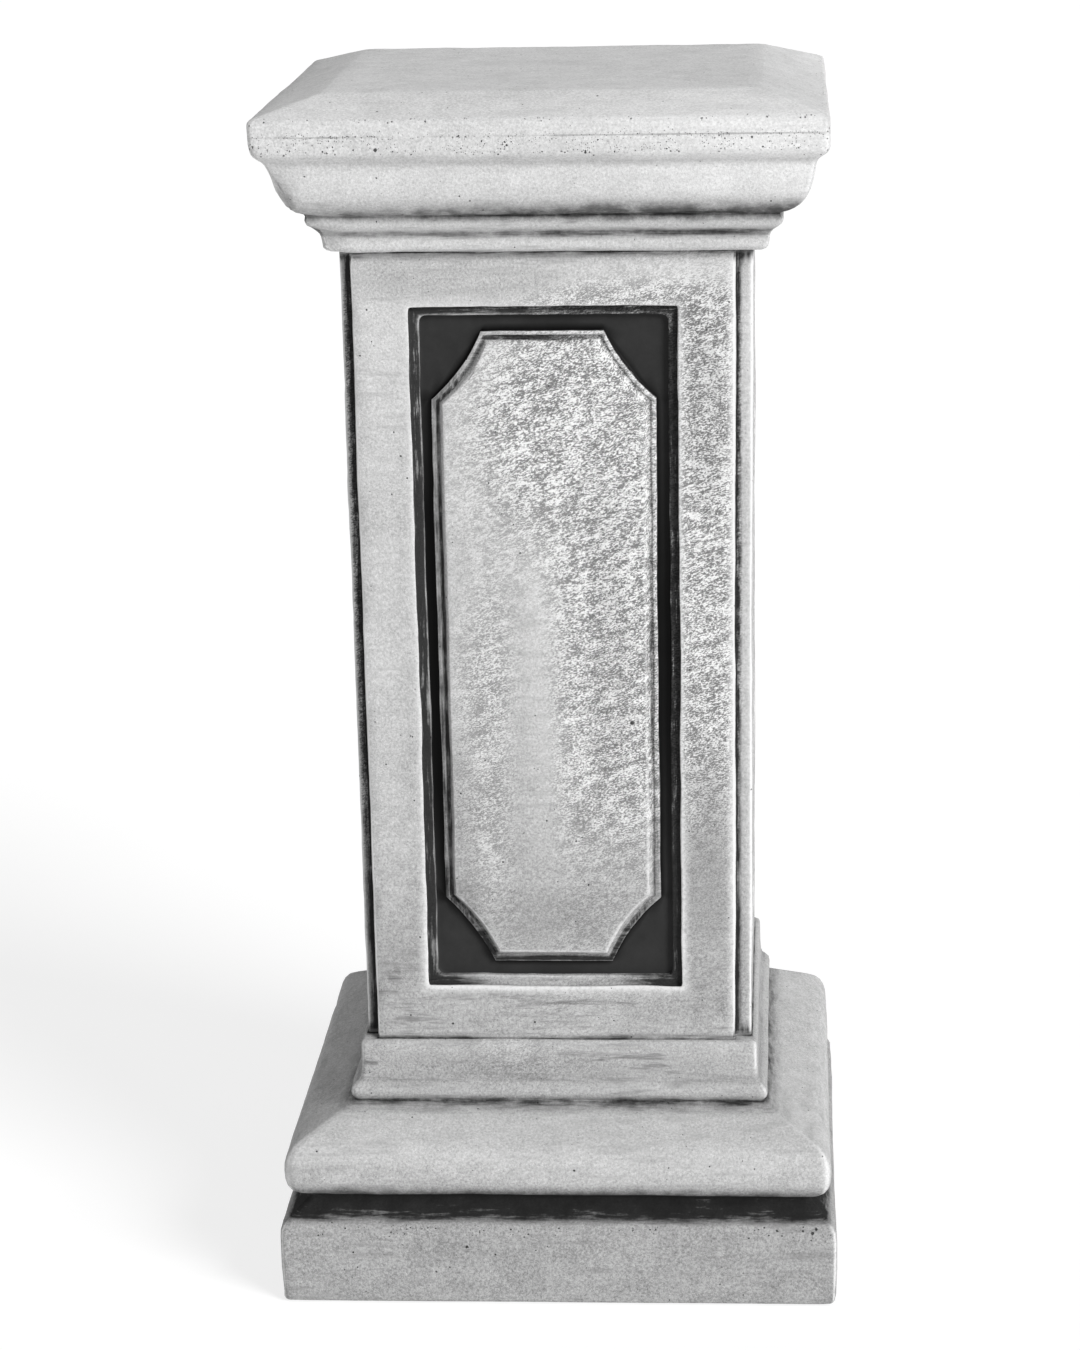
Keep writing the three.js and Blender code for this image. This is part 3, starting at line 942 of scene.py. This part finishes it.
# Air holes of the casting: cells that open by lot, few but many on the fascia, its seam and two arrises.
# A hole is where the distance in its cell is under a size drawn as the fourth power of a lot.
def airHoles(tree, where, height, offSeam, drift):
    many = calc(tree, "MULTIPLY", bandAt(tree, height, castStone["fasciaBand"]), rise(tree, drift, 0.36, 0.6))
    many = calc(tree, "MAXIMUM", many, rise(tree, offSeam, 0.0012, 0.0004))
    plinthTop, capEdge = (bandAt(tree, height, castStone[name]) for name in ("plinthBand", "capBand"))
    edges = calc(tree, "MAXIMUM", plinthTop, capEdge)
    many = calc(tree, "MAXIMUM", many, calc(tree, "MULTIPLY", rise(tree, drift, 0.45, 0.62), edges))
    many = calc(tree, "MULTIPLY_ADD", many, 0.5, 0.006)
    spread = {"Vector": where, "Scale": castStone["holeScale"], "Randomness": 1.0}
    cells = addNode(tree, "ShaderNodeTexVoronoi", spread)
    lots = addNode(tree, "ShaderNodeSeparateColor", {"Color": cells.outputs["Color"]})
    holeSize = calc(tree, "MULTIPLY_ADD", calc(tree, "POWER", lots.outputs["Green"], 4.0), 0.42, 0.25)
    holeSize = calc(tree, "MULTIPLY", holeSize, calc(tree, "LESS_THAN", lots.outputs["Red"], many))
    return rise(tree, calc(tree, "SUBTRACT", holeSize, cells.outputs["Distance"]), 0.0, 0.08)


# Cast stone: one grey tone with painted light in it, mixed in turn towards smears, speckle, grime and
# painted shade, rubbed arrises, wash and painted shade, scuffs, seam, holes and ground with painted shade
def makeCastStone():
    material = bpy.data.materials.new("castStone")
    material.use_nodes = True
    tree = material.node_tree
    shader = tree.nodes["Principled BSDF"]
    where = addNode(tree, "ShaderNodeTexCoord").outputs["Object"]
    height = addNode(tree, "ShaderNodeSeparateXYZ", {0: where}).outputs["Z"]

    # the stone's tone from the pale mask, with painted light by height and painted shade under the cap, then
    # clouds of tone in two sizes and fine sand
    tone = maskOf(tree, "pale")
    cloud = noiseAt(tree, where, castStone["cloudScale"], 5.0, 0.6)
    drift = noiseAt(tree, where, castStone["driftScale"], 5.0, 0.7)
    sand = noiseAt(tree, where, castStone["sandScale"], 3.0, 0.85)
    for grain, amount in ((cloud, 0.14), (drift, 0.24), (sand, 0.75)):
        tone = calc(tree, "ADD", tone, swing(tree, grain, amount))

    smear = levelSmear(tree, where, cloud, drift, sand)
    smeared = calc(tree, "MULTIPLY", rise(tree, smear, 0.52, 0.76), maskOf(tree, "smear"))
    tone = mixTone(tree, smeared, tone, castStone["smearGrey"])

    # speckle: grey between the strokes and pale dabs on them, as much as the mask says
    cover = brushStrokes(tree, where, drift)
    speckle = rise(tree, maskOf(tree, "speckle"), 0.0, 0.9)
    valley = calc(tree, "MULTIPLY", rise(tree, cover, 0.515, 0.465), speckle)
    light = calc(tree, "MULTIPLY", rise(tree, cover, 0.505, 0.55), speckle)
    tone = mixTone(tree, calc(tree, "MULTIPLY", valley, 0.97), tone, castStone["speckleGrey"])
    tone = mixTone(tree, calc(tree, "MULTIPLY", light, 0.92), tone, castStone["dab"])

    # broad painted shade about the creases, with the grime of dust, knocks and breaks
    dustAndShade = calc(tree, "MULTIPLY", maskOf(tree, "grime"), calc(tree, "MULTIPLY_ADD", drift, 2.0, -0.2))
    tone = mixTone(tree, rise(tree, dustAndShade, 0.05, 1.0), tone, calc(tree, "MULTIPLY", tone, 0.25))

    # white, rubbed arrises with a broken edge, and the wash and painted shade in the creases
    rub = noiseAt(tree, where, castStone["rubScale"], 3.0, 0.75)
    rub = calc(tree, "MULTIPLY", maskOf(tree, "arris"), calc(tree, "MULTIPLY_ADD", rub, 1.6, 0.15))
    tone = mixTone(tree, rise(tree, rub, 0.1, 0.8), tone, castStone["edgeWhite"])
    washed = creaseWash(tree, where, drift, sand)
    tone = mixTone(tree, calc(tree, "MULTIPLY", washed, 0.95), tone, castStone["washAndShade"])

    # scuffs, mould seam, air holes and single pits
    offSeam = calc(tree, "ABSOLUTE", calc(tree, "SUBTRACT", height, castStone["seamHeight"]))
    offSeam = calc(tree, "ADD", offSeam, swing(tree, drift, 0.0016))
    hole = airHoles(tree, where, height, offSeam, drift)
    uneven = calc(tree, "MULTIPLY_ADD", sand, 1.2, 0.4)
    for centre, radius in castStone["pits"]:
        hole = calc(tree, "MAXIMUM", hole, spotAt(tree, where, centre, radius, uneven))
    for centre, radius in castStone["scuffs"]:
        scuff = spotAt(tree, where, centre, radius, uneven)
        scuff = calc(tree, "MULTIPLY", scuff, rise(tree, smear, 0.4, 0.6))
        tone = mixTone(tree, calc(tree, "MULTIPLY", scuff, 0.8), tone, castStone["scuffGrey"])
    seam = calc(tree, "MULTIPLY", rise(tree, offSeam, 0.0007, 0.0002), rise(tree, cloud, 0.42, 0.58))
    tone = mixTone(tree, calc(tree, "MULTIPLY", seam, 0.5), tone, castStone["smearGrey"])
    tone = mixTone(tree, calc(tree, "MULTIPLY", hole, 0.9), tone, castStone["hole"])

    # smooth dark ground of the sunk panels, with painted shade making it blackest along the walls and in the
    # narrow channels
    onGround = rise(tree, maskOf(tree, "ground"), 0.25, 0.75)
    groundTone = mixTone(tree, maskOf(tree, "shade"), castStone["ground"], castStone["channelShade"])
    groundTone = calc(tree, "MULTIPLY", groundTone, calc(tree, "MULTIPLY_ADD", drift, 0.8, 0.6))
    tone = mixTone(tree, onGround, tone, groundTone)
    tree.links.new(tone, shader.inputs["Base Color"])

    dull = mixTone(tree, onGround, castStone["roughness"], castStone["groundRoughness"])
    tree.links.new(dull, shader.inputs["Roughness"])
    shader.inputs["Specular IOR Level"].default_value = castStone["shine"]
    relief = calc(tree, "MULTIPLY_ADD", calc(tree, "MULTIPLY", cover, speckle), 0.7, sand)
    relief = calc(tree, "MULTIPLY_ADD", hole, -2.5, relief)
    relief = calc(tree, "MULTIPLY", relief, calc(tree, "MULTIPLY_ADD", onGround, -0.9, 1.0))
    depth = {"Strength": castStone["bumpStrength"], "Distance": castStone["bumpDistance"], "Height": relief}
    bump = addNode(tree, "ShaderNodeBump", depth)
    tree.links.new(bump.outputs["Normal"], shader.inputs["Normal"])
    return material


casting.data.materials.append(makeCastStone())
print("casting dressed")

studio = {
    "floorSide": 40.0,
    "floorDrop": 0.0004,
    "floorTone": 0.3,
    "floorGlow": 0.74,
    "world": 0.28,
    "key": {"azimuth": 47.0, "elevation": 29.0, "spread": 24.0, "power": 3.4},
    "fill": {"azimuth": -150.0, "elevation": 40.0, "spread": 70.0, "power": 0.35},
}


# Pale glowing square just under the pedestal
def makeFloor():
    half, drop = studio["floorSide"] / 2, -studio["floorDrop"]
    corners = [(-half, -half, drop), (half, -half, drop), (half, half, drop), (-half, half, drop)]
    mesh = bpy.data.meshes.new("floor")
    mesh.from_pydata(corners, [], [(0, 1, 2, 3)])
    floor = bpy.data.objects.new("floor", mesh)
    bpy.context.scene.collection.objects.link(floor)
    material = bpy.data.materials.new("paleFloor")
    material.use_nodes = True
    shader = material.node_tree.nodes["Principled BSDF"]
    shader.inputs["Base Color"].default_value = (studio["floorTone"],) * 3 + (1,)
    shader.inputs["Roughness"].default_value = 0.9
    shader.inputs["Emission Color"].default_value = (1, 1, 1, 1)
    shader.inputs["Emission Strength"].default_value = studio["floorGlow"]
    mesh.materials.append(material)


# Broad far lamp, azimuth from the front towards the right and elevation in degrees
def makeLamp(name):
    lamp = studio[name]
    turn, lift = math.radians(lamp["azimuth"]), math.radians(lamp["elevation"])
    away = Vector((math.sin(turn) * math.cos(lift), -math.cos(turn) * math.cos(lift), math.sin(lift)))
    data = bpy.data.lights.new(name, "SUN")
    data.angle = math.radians(lamp["spread"])
    data.energy = lamp["power"]
    holder = bpy.data.objects.new(name, data)
    bpy.context.scene.collection.objects.link(holder)
    holder.matrix_world = Matrix.Translation(away * 4) @ away.to_track_quat("Z", "Y").to_matrix().to_4x4()


# White surroundings of one strength
def makeWorld():
    world = bpy.data.worlds.new("studio")
    world.use_nodes = True
    back = world.node_tree.nodes["Background"]
    back.inputs["Color"].default_value = (1, 1, 1, 1)
    back.inputs["Strength"].default_value = studio["world"]
    bpy.context.scene.world = world
    bpy.context.scene.view_settings.view_transform = "Standard"


# Camera at the photograph's angle, worked out for a frame 1350 high: turned about the object, raised and
# rolled
viewpoint = {
    "azimuth": 3.7319,
    "elevation": 14.8085,
    "roll": -1.0783,
    "distance": 2.54003,
    "aim": (-0.015425, 0.0, 0.365732),
    "focalPixels": 3890.7,
    "frameHeight": 1350,
}


# The camera looks from the viewpoint to its aim; the lens gives the focal length in pixels of the frame
def makeCamera():
    turn, lift, roll = (math.radians(viewpoint[name]) for name in ("azimuth", "elevation", "roll"))
    back = Vector((math.sin(turn) * math.cos(lift), -math.cos(turn) * math.cos(lift), math.sin(lift)))
    level = (-back).cross(Vector((0, 0, 1))).normalized()
    plumb = level.cross(-back)
    right = math.cos(roll) * level + math.sin(roll) * plumb
    up = math.cos(roll) * plumb - math.sin(roll) * level
    place = Vector(viewpoint["aim"]) + back * viewpoint["distance"]
    data = bpy.data.cameras.new("camera")
    data.sensor_width = 36.0
    data.lens = viewpoint["focalPixels"] * data.sensor_width / viewpoint["frameHeight"]
    camera = bpy.data.objects.new("camera", data)
    bpy.context.scene.collection.objects.link(camera)
    axes = Matrix((right, up, back)).transposed().to_4x4()
    camera.matrix_world = Matrix.Translation(place) @ axes
    bpy.context.scene.camera = camera


makeFloor()
for lampName in ("key", "fill"):
    makeLamp(lampName)
makeWorld()
makeCamera()
print("studio set")
